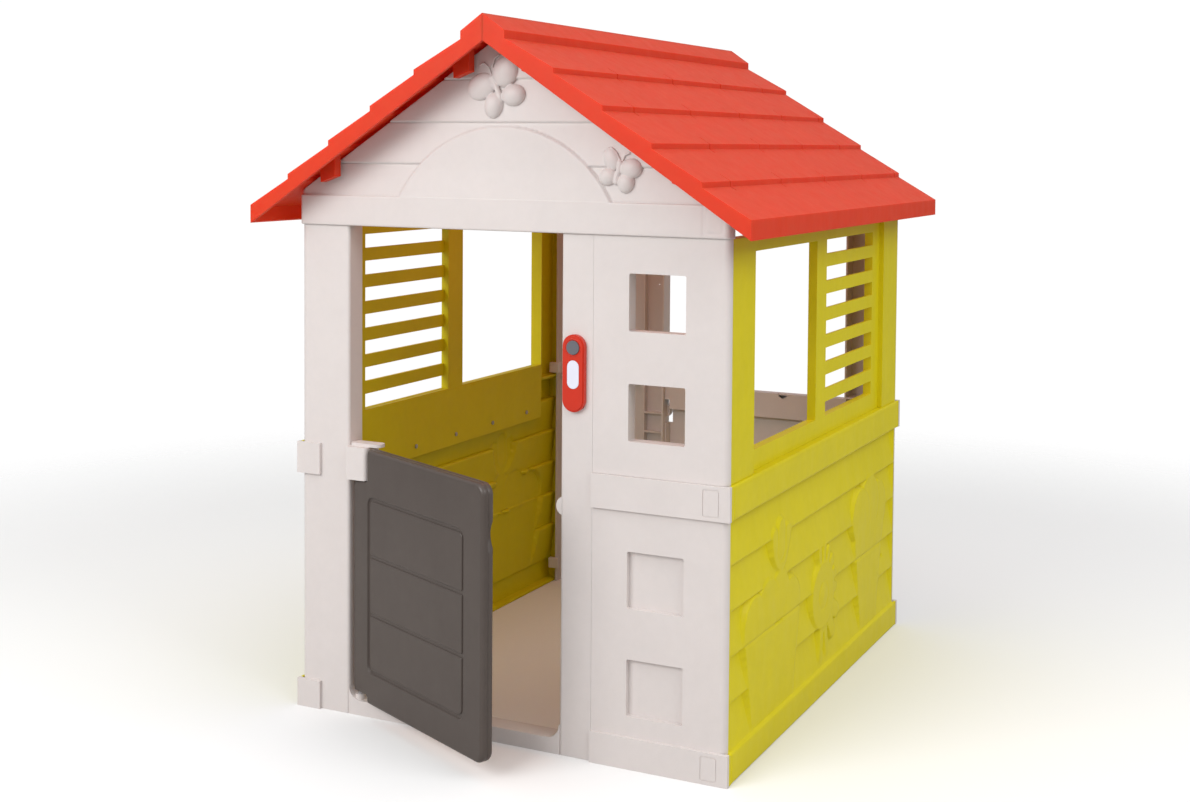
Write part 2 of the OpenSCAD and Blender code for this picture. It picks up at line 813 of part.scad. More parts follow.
module button_solid() {
    translate([bell_x, 0, button_z]) {
        translate([0, plate_front + 6, 0]) rotate([90, 0, 0]) cylinder(h = 8, r = button_r);
        translate([0, plate_front + 6, 0]) rotate([90, 0, 0]) cylinder(h = 1.6, r = button_r + 1);
        translate([0, front_y + 12, 0]) rotate([90, 0, 0]) cylinder(h = 16, r = 3);
    }
}

// Return spring round the plunger, drawn as rings tied by two side bars
module spring_solid() {
    turns = 8;
    y0 = plate_front + 6.1;
    y1 = board_y - 0.1;
    for (i = [0:turns - 1])
        translate([bell_x, y0 + 1 + i * (y1 - y0 - 2) / (turns - 1), button_z]) rotate([90, 0, 0])
            rotate_extrude() translate([5, 0]) circle(0.7, $fn = 16);
    for (a = [0, 180]) translate([bell_x + 5 * cos(a), y1, button_z]) rotate([90, 0, 0])
        cylinder(h = y1 - y0, r = 0.45, $fn = 16);
}

module housing_solid() {
    w = housing_x[1] - housing_x[0];
    h = housing_z[1] - housing_z[0];
    d = housing_back - housing_front;
    difference() {
        union() {
            difference() {
                translate([housing_x[0], housing_front, housing_z[0]]) cube([w, d, h]);
                translate([housing_x[0] + 2, housing_front - 1, housing_z[0] + 2])
                    cube([w - 4, d - 1, h - 4]);
            }
            for (z = board_post_zs) translate([bell_x, board_y + board_t, z]) rotate([-90, 0, 0])
                cylinder(h = housing_back - board_y - board_t - 1, r = 3);
        }
        translate([cover_x[0] - fit, housing_back - 3, cover_z[0] - fit])
            cube([cover_x[1] - cover_x[0] + 2 * fit, 5, cover_z[1] - cover_z[0] + 2 * fit]);
        for (z = screw_zs) translate([bell_x, housing_back - 3, z]) rotate([-90, 0, 0])
            cylinder(h = 5, r = 1.6);
    }
}

// Circuit board with the switch under the button
module board_solid() {
    translate([housing_x[0] + 3, board_y, 640]) cube([37, board_t, 78]);
    translate([bell_x - 3, board_y - 3, button_z - 3]) cube([6, 3.2, 6]);
    for (x = [-8, 4]) translate([bell_x + x, board_y - 2, 676]) cube([6, 2.2, 9]);
}

module bell_cell_stack() {
    for (i = [0:2]) translate([bell_x - 8.2 + i * 5.5, front_y + 21, 619]) rotate([0, 90, 0])
        cylinder(h = 5.4, r = 5.8);
}

module bell_screw_pair() {
    for (z = screw_zs) translate([bell_x, housing_back, z]) rotate([90, 0, 0]) {
        cylinder(h = 33, r = 1.5);
        translate([0, 0, -2]) cylinder(h = 2, r = 3);
    }
}

// Buzzer with its sound hole
module buzzer_solid() {
    translate([bell_x, board_y, 655]) rotate([90, 0, 0]) difference() {
        cylinder(h = 5, r = 10);
        translate([0, 0, 3]) cylinder(h = 3, r = 1.5);
    }
}

module cover_solid() {
    translate([cover_x[0], housing_back - 2, cover_z[0]])
        cube([cover_x[1] - cover_x[0], 2, cover_z[1] - cover_z[0]]);
}

// ---- clips and screws ------------------------------------------------------

// Clips in the corners, over the rib of the white wall and inside the side wall
module clips() {
    for (sx = [-1, 1], sy = [-1, 1], z = [34, 505])
        translate([sx * 399 - 13, sy * (half_d - return_d - 6.3) - 6, z]) cube([26, 12, 24]);
}

module skirt_screws() {
    for (side = [-1, 1], y = skirt_screw_ys) translate([side * skirt_x, y, 430])
        rotate([0, 90 * side, 0]) {
            translate([0, 0, -2.5]) cylinder(h = 2.5, r = 4.5);
            cylinder(h = 12, r = 2);
        }
}

// Screws that stand in the bottom flange of a gable
module gable_screw_set() {
    for (x = gable_screw_xs) translate([x, front_y + shallow_d / 2 + 2, 0]) {
        translate([0, 0, wall_h - skin - 8]) cylinder(h = skin * 2 + fit + 8, r = 2);
        translate([0, 0, wall_h + fit + skin]) cylinder(h = 2.5, r = 4.5);
    }
}

// ---- one module per node ----------------------------------------------------

module front_post() placed() post();
module front_door_frame() placed() door_frame(true);
module front_lower_panel() placed() lower_panel();
module front_upper_panel() placed() upper_panel();
module front_gable() placed() gable();
module back_post() placed() turned() post();
module back_door_frame() placed() turned() door_frame(false);
module back_lower_panel() placed() turned() lower_panel();
module back_upper_panel() placed() turned() upper_panel();
module back_gable() placed() turned() gable();
module back_infill_panel() placed() turned() infill_panel();
module right_lower_wall() placed() lower_wall();
module right_window_frame() placed() window_frame();
module left_lower_wall() placed() turned() lower_wall();
module left_window_frame() placed() turned() window_frame();
module roof_right() placed() color(red_plastic) roof_half_solid();
module roof_left() placed() color(red_plastic) turned() roof_half_solid();
module roof_clips() placed() color(red_plastic) clip_bars();
module door_outer_shell() placed() color(grey_plastic) door_place() leaf_shell(-1);
module door_inner_shell() placed() color(grey_plastic) door_place() leaf_shell(1);
module hinge_bushes() placed() color(grey_plastic) door_place() bushes();
module hinge_pins() placed() color(steel) pins();
module hinge_block() placed() color(white_plastic) hinge_block_solid();
module bell_plate() placed() color(bell_red) plate_solid();
module bell_button() placed() color(button_grey) button_solid();
module bell_spring() placed() color(steel) spring_solid();
module bell_name_card() placed() color(card_blue)
    wall_plate(plate_front - 0.2, 1.7) oblong(22.4, 48.4, card_z);
module bell_housing() placed() color(button_grey) housing_solid();
module bell_board() placed() color(green_board) board_solid();
module bell_buzzer() placed() color("dimgray") buzzer_solid();
module bell_cells() placed() color(steel) bell_cell_stack();
module bell_battery_cover() placed() color(button_grey) cover_solid();
module bell_screws() placed() color(steel) bell_screw_pair();
module corner_clips() placed() color(white_plastic) clips();
module wall_screws() placed() color(steel) skirt_screws();
module gable_screws() placed() color(steel) {
    gable_screw_set();
    turned() gable_screw_set();
}

front_post();
front_door_frame();
front_lower_panel();
front_upper_panel();
front_gable();
back_post();
back_door_frame();
back_lower_panel();
back_upper_panel();
back_gable();
back_infill_panel();
right_lower_wall();
right_window_frame();
left_lower_wall();
left_window_frame();
roof_right();
roof_left();
roof_clips();
door_outer_shell();
door_inner_shell();
hinge_bushes();
hinge_pins();
hinge_block();
bell_plate();
bell_button();
bell_spring();
bell_name_card();
bell_housing();
bell_board();
bell_buzzer();
bell_cells();
bell_battery_cover();
bell_screws();
corner_clips();
wall_screws();
gable_screws();
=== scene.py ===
import json
import math

import bmesh
import bpy
import numpy as np
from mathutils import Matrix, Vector


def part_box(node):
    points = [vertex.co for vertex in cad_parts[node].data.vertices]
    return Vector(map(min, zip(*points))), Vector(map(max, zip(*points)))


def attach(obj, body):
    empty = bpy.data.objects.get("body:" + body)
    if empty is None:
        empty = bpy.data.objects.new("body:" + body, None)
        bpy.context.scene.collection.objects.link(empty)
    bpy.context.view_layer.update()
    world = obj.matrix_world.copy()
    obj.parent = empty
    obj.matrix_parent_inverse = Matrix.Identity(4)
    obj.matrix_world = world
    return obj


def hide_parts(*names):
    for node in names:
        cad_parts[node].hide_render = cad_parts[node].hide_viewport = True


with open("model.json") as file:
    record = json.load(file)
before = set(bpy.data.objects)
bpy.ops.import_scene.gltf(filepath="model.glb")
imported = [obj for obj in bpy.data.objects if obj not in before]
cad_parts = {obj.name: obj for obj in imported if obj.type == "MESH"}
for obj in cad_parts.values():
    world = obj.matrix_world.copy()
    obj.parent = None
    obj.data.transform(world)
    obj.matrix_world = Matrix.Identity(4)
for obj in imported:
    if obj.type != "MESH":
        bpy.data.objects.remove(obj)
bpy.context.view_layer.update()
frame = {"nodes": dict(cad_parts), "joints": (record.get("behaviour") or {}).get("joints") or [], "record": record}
nodes = frame["nodes"]

# ---------------------------------------------------------------- places from the frame
WY = (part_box("front_post")[0].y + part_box("back_post")[1].y) / 2  # middle of the walls, along y
GABLE_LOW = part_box("front_gable")[0].z

# ---------------------------------------------------------------- camera, fitted to the photo
CAM_AT = (1.37492, WY - 2.78350, 1.05253)
CAM_TURN = (87.63871, -0.51785, 24.62347)  # degrees about x, y and z
CAM_LENS, CAM_SENSOR = 46.677, 36.0
CAM_SHIFT = (-0.06378, -0.16256)

cam_data = bpy.data.cameras.new("camera")
cam = bpy.data.objects.new("camera", cam_data)
bpy.context.scene.collection.objects.link(cam)
cam.location = CAM_AT
cam.rotation_euler = [math.radians(a) for a in CAM_TURN]
cam_data.sensor_width = CAM_SENSOR
cam_data.lens = CAM_LENS
cam_data.shift_x, cam_data.shift_y = CAM_SHIFT
cam_data.clip_start = 0.05
cam_data.clip_end = 600.0
bpy.context.scene.camera = cam


# ---------------------------------------------------------------- materials
WAVE_DEPTH, GRAIN_DEPTH = 0.002, 0.0002  # metres
SPOTS_SHARE, SLOW_SHARE = 0.45, 0.55     # what the small and the slow noise give to the mottling
MOTTLE_LOW, MOTTLE_HIGH = 0.32, 0.70
PLASTIC_IOR, COAT_ROUGH = 1.49, 0.12
STREAK_SCALE = (22.0, 22.0, 7.0)         # rub marks are longer upwards


def add(nt, kind, **values):
    """Node of that kind; values set its inputs, with _ for a space in the name."""
    node = nt.nodes.new(kind)
    for key, value in values.items():
        node.inputs[key.replace("_", " ")].default_value = value
    return node


def noise(nt, scale, detail, rough, vec, dist=0.0):
    node = add(nt, "ShaderNodeTexNoise", Scale=scale, Detail=detail, Roughness=rough, Distortion=dist)
    nt.links.new(vec, node.inputs["Vector"])
    return node


def plastic(name, color, rough=0.42, spread=0.045, grain=0.35, grain_scale=900.0, wave=0.25,
            tint=0.035, sss=0.0, sss_radius=(1.0, 0.6, 0.4), sss_scale=0.004, spec=0.5, coat=0.0):
    """Moulded plastic: fine grain, slow waviness from the mould, faint mottling and scuffs."""
    mat = bpy.data.materials.new(name)
    mat.use_nodes = True
    nt = mat.node_tree
    bsdf = nt.nodes["Principled BSDF"]
    vec = add(nt, "ShaderNodeTexCoord").outputs["Object"]
    fine = noise(nt, grain_scale, 2.0, 0.6, vec)
    slow = noise(nt, 9.0, 3.0, 0.5, vec, 0.4)
    spots = noise(nt, 55.0, 4.0, 0.65, vec)
    streak_map = add(nt, "ShaderNodeMapping", Scale=STREAK_SCALE)
    nt.links.new(vec, streak_map.inputs["Vector"])
    streak = noise(nt, 2.0, 3.0, 0.6, streak_map.outputs["Vector"])
    # colour: mottling, a little lighter or darker
    ramp = nt.nodes.new("ShaderNodeValToRGB")
    c = Vector(color[:3])
    dark = c * (1 - tint * 1.6)
    light = Vector([min(1.0, x * (1 + tint) + tint * 0.03) for x in c])
    ramp.color_ramp.elements[0].position = MOTTLE_LOW
    ramp.color_ramp.elements[0].color = (*dark, 1)
    ramp.color_ramp.elements[1].position = MOTTLE_HIGH
    ramp.color_ramp.elements[1].color = (*light, 1)
    mix = nt.nodes.new("ShaderNodeMath")
    mix.operation = "MULTIPLY_ADD"
    mix.inputs[1].default_value = SPOTS_SHARE
    nt.links.new(spots.outputs["Fac"], mix.inputs[0])
    slow_part = nt.nodes.new("ShaderNodeMath")
    slow_part.operation = "MULTIPLY"
    slow_part.inputs[1].default_value = SLOW_SHARE
    nt.links.new(slow.outputs["Fac"], slow_part.inputs[0])
    nt.links.new(slow_part.outputs[0], mix.inputs[2])
    nt.links.new(mix.outputs[0], ramp.inputs["Fac"])
    nt.links.new(ramp.outputs["Color"], bsdf.inputs["Base Color"])
    # roughness: faint upright rub marks
    rub = add(nt, "ShaderNodeMapRange", From_Min=0.3, From_Max=0.75, To_Min=rough - spread,
              To_Max=rough + spread)
    nt.links.new(streak.outputs["Fac"], rub.inputs["Value"])
    nt.links.new(rub.outputs["Result"], bsdf.inputs["Roughness"])
    # relief: slow waviness of the moulding under a fine grain
    b1 = add(nt, "ShaderNodeBump", Strength=wave, Distance=WAVE_DEPTH)
    nt.links.new(slow.outputs["Fac"], b1.inputs["Height"])
    b2 = add(nt, "ShaderNodeBump", Strength=grain, Distance=GRAIN_DEPTH)
    nt.links.new(fine.outputs["Fac"], b2.inputs["Height"])
    nt.links.new(b1.outputs["Normal"], b2.inputs["Normal"])
    nt.links.new(b2.outputs["Normal"], bsdf.inputs["Normal"])
    bsdf.inputs["IOR"].default_value = PLASTIC_IOR
    bsdf.inputs["Specular IOR Level"].default_value = spec
    if coat:
        bsdf.inputs["Coat Weight"].default_value = coat
        bsdf.inputs["Coat Roughness"].default_value = COAT_ROUGH
    if sss:
        bsdf.inputs["Subsurface Weight"].default_value = sss
        bsdf.inputs["Subsurface Radius"].default_value = sss_radius
        bsdf.inputs["Subsurface Scale"].default_value = sss_scale
    return mat


def metal(name, color):
    mat = plastic(name, color, rough=0.3, spread=0.1, grain=0.2, grain_scale=1500.0, wave=0.1)
    mat.node_tree.nodes["Principled BSDF"].inputs["Metallic"].default_value = 1.0
    return mat


def srgb(r, g, b):
    def one(v):
        v /= 255.0
        return v / 12.92 if v <= 0.04045 else ((v + 0.055) / 1.055) ** 2.4
    return one(r), one(g), one(b)


MATS = {
    "white_plastic": plastic("white_moulded", srgb(219, 211, 208), rough=0.42, sss=0.12, spec=0.32,
                             sss_radius=(1.0, 0.85, 0.7), sss_scale=0.003, grain=0.22, tint=0.02),
    "lime_plastic": plastic("lime_moulded", srgb(221, 206, 16), rough=0.44, sss=0.12, spec=0.26,
                            sss_radius=(1.0, 0.9, 0.2), sss_scale=0.003, grain=0.28, tint=0.03),
    "red_plastic": plastic("red_moulded", srgb(218, 63, 32), rough=0.5, sss=0.8, spec=0.2,
                           sss_radius=(1.0, 0.16, 0.07), sss_scale=0.014, grain=0.3, tint=0.03),
    "grey_plastic": plastic("grey_moulded", srgb(80, 71, 66), rough=0.34, spread=0.04, spec=0.42,
                            grain=0.5, grain_scale=1100.0, tint=0.05, wave=0.3),
    "bell_red": plastic("bell_red_gloss", srgb(205, 52, 32), rough=0.26, coat=0.1, grain=0.1,
                        spec=0.35),
    "button_grey": plastic("button_grey_moulded", srgb(104, 104, 110), rough=0.34, grain=0.3),
    "card_blue": plastic("card_pale", srgb(228, 228, 242), rough=0.5, grain=0.5,
                         grain_scale=1600.0, tint=0.015),
    "green_board": plastic("board_green", srgb(40, 110, 62), rough=0.3, coat=0.4),
    "black_plastic": plastic("buzzer_black", srgb(32, 32, 34), rough=0.5),
    "steel": metal("zinc_steel", srgb(190, 190, 194)),
}
slot_of = {part["node"]: part["material_slot"] for part in frame["record"]["subparts"]}


def dress(obj, slot):
    obj.data.materials.clear()
    obj.data.materials.append(MATS[slot])


# ---------------------------------------------------------------- carried-over CAD nodes
# widths of the rounded edges, metres
EDGE = {"roof_right": 0.0018, "roof_left": 0.0018, "front_post": 0.0022, "back_post": 0.0022,
        "front_lower_panel": 0.0026, "back_lower_panel": 0.0026, "front_upper_panel": 0.0026,
        "back_upper_panel": 0.0026, "right_window_frame": 0.0015, "left_window_frame": 0.0015,
        "hinge_block": 0.0025, "bell_plate": 0.0016, "corner_clips": 0.0014,
        "back_infill_panel": 0.0018, "front_door_frame": 0.0026, "back_door_frame": 0.0026}
EDGE_REST = 0.0006  # for every other node


def weighted(obj, weight):
    """Shades rounded edges as soft and the faces between them as flat."""
    m = obj.modifiers.new("normals", "WEIGHTED_NORMAL")
    m.keep_sharp = False
    m.weight = weight


def soften(obj, width):
    """Joins the CAD faces, rounds the moulded edges and shades them smooth."""
    weld = obj.modifiers.new("weld", "WELD")
    weld.merge_threshold = 0.00002
    flat = obj.modifiers.new("flat_faces", "DECIMATE")
    flat.decimate_type = "DISSOLVE"
    flat.angle_limit = math.radians(1.0)
    bev = obj.modifiers.new("rounded_edges", "BEVEL")
    bev.width = width
    bev.segments = 3
    bev.limit_method = "ANGLE"
    bev.angle_limit = math.radians(32)
    bev.use_clamp_overlap = True
    bev.harden_normals = False
    weighted(obj, 80)


for name, obj in nodes.items():
    obj.data.materials.clear()
    obj.data.materials.append(MATS[slot_of[name]])
    for p in obj.data.polygons:
        p.use_smooth = True
    soften(obj, EDGE.get(name, EDGE_REST))


# ---------------------------------------------------------------- mesh helpers
# They take millimetres from the house's middle and make meshes in the frame's metres.
def to_world(x, y, z, turned=False):
    """Millimetres to the frame's metres; turned is the same piece on the opposite side."""
    if turned:
        x, y = -x, -y
    return (x * 0.001, y * 0.001 + WY, z * 0.001)


def finish_mesh(name, bm, slot, body="house", out=None):
    """out is the direction an open sheet's outer side faces; closed forms need none."""
    me = bpy.data.meshes.new(name)
    if out is None:
        bmesh.ops.recalc_face_normals(bm, faces=bm.faces[:])
    else:
        bm.normal_update()
        total = sum((f.normal * f.calc_area() for f in bm.faces), Vector())
        if total.dot(Vector(out)) < 0:
            bmesh.ops.reverse_faces(bm, faces=bm.faces[:])
    bm.to_mesh(me)
    bm.free()
    obj = bpy.data.objects.new(name, me)
    bpy.context.scene.collection.objects.link(obj)
    me.polygons.foreach_set("use_smooth", [True] * len(me.polygons))
    dress(obj, slot)
    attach(obj, body)
    return obj


SKIN = 0.0036  # thickness of the sculpted walls, metres


def thicken(obj):
    """Gives an open sheet the thickness of a moulded wall, on its inner side."""
    m = obj.modifiers.new("wall", "SOLIDIFY")
    m.thickness = SKIN
    m.offset = -1.0
    m.use_even_offset = False


def grid(bm, X, Y, Z, turned):
    """Quads over equal 2-D arrays of coordinates."""
    rows, cols = X.shape
    vs = [[bm.verts.new(to_world(X[r, c], Y[r, c], Z[r, c], turned)) for c in range(cols)]
          for r in range(rows)]
    for r in range(rows - 1):
        for c in range(cols - 1):
            bm.faces.new((vs[r][c], vs[r][c + 1], vs[r + 1][c + 1], vs[r + 1][c]))


# Signed distances over arrays u, v: positive inside the form.
def d_circle(u, v, cu, cv, r):
    return r - np.hypot(u - cu, v - cv)


def d_capsule(u, v, a, b, r):
    au, av = a
    bu, bv = b
    t = ((u - au) * (bu - au) + (v - av) * (bv - av)) / ((bu - au) ** 2 + (bv - av) ** 2)
    t = np.clip(t, 0, 1)
    return r - np.hypot(u - au - t * (bu - au), v - av - t * (bv - av))


def d_poly(u, v, pts):
    d = np.full(u.shape, 1e9)
    inside = np.zeros(u.shape, bool)
    n = len(pts)
    for i in range(n):
        (au, av), (bu, bv) = pts[i], pts[(i + 1) % n]
        d = np.minimum(d, -d_capsule(u, v, (au, av), (bu, bv), 0))
        if av != bv:
            cross = (av > v) != (bv > v)
            inside ^= cross & (u < (bu - au) * (v - av) / (bv - av) + au)
    return np.where(inside, d, -d)


def d_box(u, v, u0, v0, u1, v1, r):
    """Rectangle between two corners, its own corners rounded by r."""
    qu = np.abs(u - (u0 + u1) / 2) - ((u1 - u0) / 2 - r)
    qv = np.abs(v - (v0 + v1) / 2) - ((v1 - v0) / 2 - r)
    return r - np.hypot(np.maximum(qu, 0), np.maximum(qv, 0)) - np.minimum(np.maximum(qu, qv), 0)


def cut(d, width, depth):
    """A soft groove along d = 0."""
    return -depth * np.exp(-((d / width) ** 2))


def rounded(d, r):
    """Height lost at a quarter round of radius r, at the distance d in from its edge."""
    t = np.clip(d / r, 0, 1)
    return r * (1 - np.sqrt(np.clip(1 - (1 - t) ** 2, 0, 1)))


def shift_edge(d, out=6.0, into=3.0, lip=1.0):
    """Height change at a raised form's rim: rounded inside, falling steeply outside."""
    t = np.clip(d / into, 0, 1)
    return np.where(d > 0, -lip * (1 - t) ** 2, -lip + out * d)


# ---------------------------------------------------------------- lower side walls
# Faces of the planks and the bands, the flanges' middle and inner end, and half the wall's length
PLANK_X, BAND_X, FLANGE_X, FLANGE_END_X, WALL_HALF = 428.0, 434.0, 418.0, 404.6, 469.7
PLANKS, PLANK_LOW, BAND_LOW, BAND_TOP = 5, 56.0, 438.0, 496.0
PITCH = (BAND_LOW - PLANK_LOW) / PLANKS
LEAN = 11.0  # how far a plank's top lies behind its foot
WALL_COLUMNS, PLANK_ROWS = 251, 27  # fineness of the sheet
DRAIN_AT, DRAIN_R, DRAIN_DEPTH = (398, 172), 3.2, 9.0

POT_FOOT, POT_RIM, SEAM = 50, 206, 208  # z of a pot's foot and rim, and of the line above it
FLOWER_AT, FLOWER_R, HEART_R = (0, 191), 65, 26
# petals and leaves round the flower's disc: direction in degrees, reach, half width
PETALS = [(102, 100, 10), (84, 102, 10), (66, 98, 10), (46, 92, 12), (22, 86, 12), (0, 84, 12),
          (-32, 112, 17), (-54, 120, 16), (-76, 130, 11), (-94, 130, 11)]


def petals(u, v, at, r0, rays):
    """Signed distances of the petals that start r0 from the middle."""
    ds = []
    for angle, reach, w in rays:
        cu, cv = math.cos(math.radians(angle)), math.sin(math.radians(angle))
        end = reach - w
        ds.append(d_capsule(u, v, (at[0] + r0 * cu, at[1] + r0 * cv),
                            (at[0] + end * cu, at[1] + end * cv), w))
    return ds


def pot_and_bush(u, v, foot, rim, lobes):
    """Height of a pot that widens upwards, with the round lobes of a bush above it."""
    pot = d_poly(u, v, [(foot[0], POT_FOOT), (foot[1], POT_FOOT), (rim[1], POT_RIM), (rim[0], POT_RIM)])
    rounds = [d_circle(u, v, *lobe) for lobe in lobes]
    bush = np.where(v > SEAM - 2, np.max(rounds, axis=0), -1e3)
    g = 0.6 + shift_edge(np.maximum(pot, bush))
    g += np.where(np.abs(v - SEAM) < 14, cut(v - SEAM, 1.8, 1.6), 0)
    # carved lines where one lobe lies over the next
    for lobe, other in zip(rounds[:3], rounds[1:4]):
        g += np.where((v > SEAM + 60) & (other > -3), cut(lobe, 1.8, 0.9), 0)
    return g + np.clip(bush / 40, 0, 1)


def tulip(u, v):
    """Height of a cup of three petals on a short stem."""
    pets = [d_capsule(u, v, (-256, 335), (-262, 362), 17), d_capsule(u, v, (-233, 334), (-230, 374), 19),
            d_capsule(u, v, (-208, 335), (-198, 360), 17)]
    cup = d_circle(u, v, -232, 333, 36)
    stem = d_capsule(u, v, (-233, 290), (-233, 320), 8)
    whole = np.maximum(np.max(pets, axis=0), np.maximum(cup, stem))
    return 1.0 + shift_edge(whole) + cut(pets[1], 1.8, 1.4) * (pets[1] > -6)


def flower(u, v):
    """Height of a flat disc with narrow petals above, leaves below, and a domed middle."""
    disc = d_circle(u, v, *FLOWER_AT, FLOWER_R)
    tips = petals(u, v, FLOWER_AT, 40, PETALS)
    g = 0.2 + shift_edge(np.max(tips, axis=0))
    for tip, after in zip(tips[:-1], tips[1:]):
        g += np.where((np.minimum(tip, after) > -3) & (disc < 1), cut(tip - after, 1.8, 1.2), 0)
    g = np.maximum(g, 1.4 + shift_edge(disc))
    heart = d_circle(u, v, *FLOWER_AT, HEART_R)
    return g + np.clip(heart / HEART_R, 0, 1) * 2.0 + cut(heart, 2.0, 1.0)


def garden(u, v):
    """Height of the garden forms over the planks' face, far below it outside them."""
    left = pot_and_bush(u, v, (-369, -163), (-402, -130),
                        [(-352, 228, 56), (-290, 246, 50), (-232, 254, 46), (-176, 226, 48)])
    right = pot_and_bush(u, v, (236, 344), (204, 376),
                         [(236, 292, 58), (294, 308, 60), (352, 290, 56),
                          (238, 240, 44), (346, 240, 44), (292, 236, 50)])
    return np.max([left, right, tulip(u, v), flower(u, v)], axis=0)


def wall_rows():
    """Section of the lower wall from the ground up: x, z, and 1 where garden forms may stand."""
    # flange on the ground, then the foot band with rounded edges
    rows = [(FLANGE_END_X, 0.3, 0), (FLANGE_X, 0.3, 0), (BAND_X - 4.0, 0.3, 0),
            (BAND_X - 1.4, 0.9, 0), (BAND_X - 0.4, 2.2, 0), (BAND_X, 4.0, 0)]
    rows += [(BAND_X, z, 0) for z in np.linspace(8, 46, 8)]
    rows += [(BAND_X - 0.3, 49.2, 0), (BAND_X - 1.2, 51.0, 0), (BAND_X - 2.8, 52.2, 0),
             (BAND_X - 5.2, 52.8, 0), (BAND_X - 6.1, 54.2, 0)]
    # planks; each but the lowest starts with a ledge
    for i in range(PLANKS):
        z0 = PLANK_LOW + i * PITCH
        if i:
            rows += [(PLANK_X - LEAN, z0 - 0.5, 1), (PLANK_X - 6.5, z0 - 0.25, 1),
                     (PLANK_X - 1.6, z0, 1), (PLANK_X - 0.4, z0 + 0.5, 1)]
        zs = np.linspace(z0 + 1.6, z0 + PITCH - 1.0, PLANK_ROWS)
        rows += [(PLANK_X - LEAN * (z - z0) / PITCH, z, 1) for z in zs]
    # middle band with its ledge and rounded edges, then the upper flange
    rows += [(PLANK_X - LEAN, BAND_LOW - 0.3, 0), (PLANK_X - 4.0, BAND_LOW - 0.1, 0),
             (BAND_X - 3.0, BAND_LOW + 0.1, 0), (BAND_X - 0.8, BAND_LOW + 0.9, 0),
             (BAND_X, BAND_LOW + 2.6, 0)]
    rows += [(BAND_X, z, 0) for z in np.linspace(BAND_LOW + 6, BAND_TOP - 6, 8)]
    rows += [(BAND_X - 0.3, BAND_TOP - 2.8, 0), (BAND_X - 1.1, BAND_TOP - 1.2, 0),
             (BAND_X - 2.6, BAND_TOP - 0.2, 0), (BAND_X - 5.0, BAND_TOP, 0),
             (FLANGE_X, BAND_TOP, 0), (FLANGE_END_X, BAND_TOP, 0)]
    return np.array(rows)


def lower_wall(name, node, turned):
    """Sheet with the section above and the garden forms on it, and the bands' lapping ends."""
    rows = wall_rows()
    near_end = np.array([0, 0.8, 2.2])
    ys = np.concatenate([near_end - WALL_HALF, np.linspace(4 - WALL_HALF, WALL_HALF - 4, WALL_COLUMNS),
                         WALL_HALF - near_end[::-1]])
    Y, Z = np.meshgrid(ys, rows[:, 1])
    X = np.repeat(rows[:, 0:1], len(ys), axis=1)
    on_planks = rows[:, 2:3] > 0
    from_end = WALL_HALF - np.abs(Y)
    may_rise = on_planks & (from_end > 8)
    relief = garden(Y, Z) + PLANK_X
    X = np.where(may_rise & (relief > X), relief, X)
    # a plain upright strip at each end
    X += (PLANK_X - 0.4 - X) * np.clip((6.5 - from_end) / 1.2, 0, 1) * on_planks
    X -= DRAIN_DEPTH * (d_circle(Y, Z, *DRAIN_AT, DRAIN_R) > 0) * may_rise
    X = np.where(X > FLANGE_END_X + 0.4, X - rounded(from_end, 3.0), X)
    # the ends run straight in to the flanges' depth
    X = np.pad(X, ((0, 0), (1, 1)), constant_values=FLANGE_END_X)
    Y = np.pad(Y, ((0, 0), (1, 1)), mode="edge")
    Z = np.pad(Z, ((0, 0), (1, 1)), mode="edge")
    bm = bmesh.new()
    grid(bm, X, Y, Z, turned)
    # some corners of the flanges fall together
    bmesh.ops.remove_doubles(bm, verts=bm.verts[:], dist=0.00001)
    bmesh.ops.dissolve_degenerate(bm, dist=0.000005, edges=bm.edges[:])
    obj = finish_mesh(name, bm, "lime_plastic", out=(-1 if turned else 1, 0, 0))
    thicken(obj)
    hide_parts(node)
    bm = bmesh.new()
    for y0, y1 in ((-479.3, -469.0), (469.0, 479.3)):
        for z0, z1 in ((0.4, 52), (BAND_LOW + 0.2, BAND_TOP - 0.2)):
            rounded_box(bm, (428.4, y0, z0), (BAND_X - 0.1, y1, z1), 1.6, turned)
    weighted(finish_mesh(name + "_band_ends", bm, "lime_plastic"), 70)


def rounded_box(bm, lo, hi, r, turned):
    """Box with rounded edges, added to bm."""
    made = bmesh.ops.create_cube(bm, size=1.0)["verts"]
    for v in made:
        p = [lo[i] + (v.co[i] + 0.5) * (hi[i] - lo[i]) for i in range(3)]
        v.co = to_world(*p, turned)
    bm.normal_update()
    edges = dict.fromkeys(e for v in made for e in v.link_edges)  # each once, in a fixed order
    bmesh.ops.bevel(bm, geom=list(edges), offset=r * 0.001, segments=3, profile=0.5,
                    affect="EDGES", clamp_overlap=True)


# ---------------------------------------------------------------- gables
GABLE_HALF, GABLE_Y, RIM_Y = 428, 482.0, 462.3  # half width, face, and how far in the rim reaches
GABLE_PEAK = 1241.4                 # the slanting edges end just under the tiles
ROOF_SLOPE = (1224.0 - 902.0) / 490.0
BAND_RISE, PLAQUE_RISE = 6.0, 5.8   # how far band and plaque stand in front of the face
PLAQUE_AT, PLAQUE_R = (0, 839), 241
# top of the band, then the top of each clapboard
LINES = [954.0, 1013.0, 1087.0, 1162.0, 1250.0]
CAP = (386, 907, 416, 946, 5)       # outlined cap at each end of the band
SEAM_X, SEAM_TOP = 381.5, 990


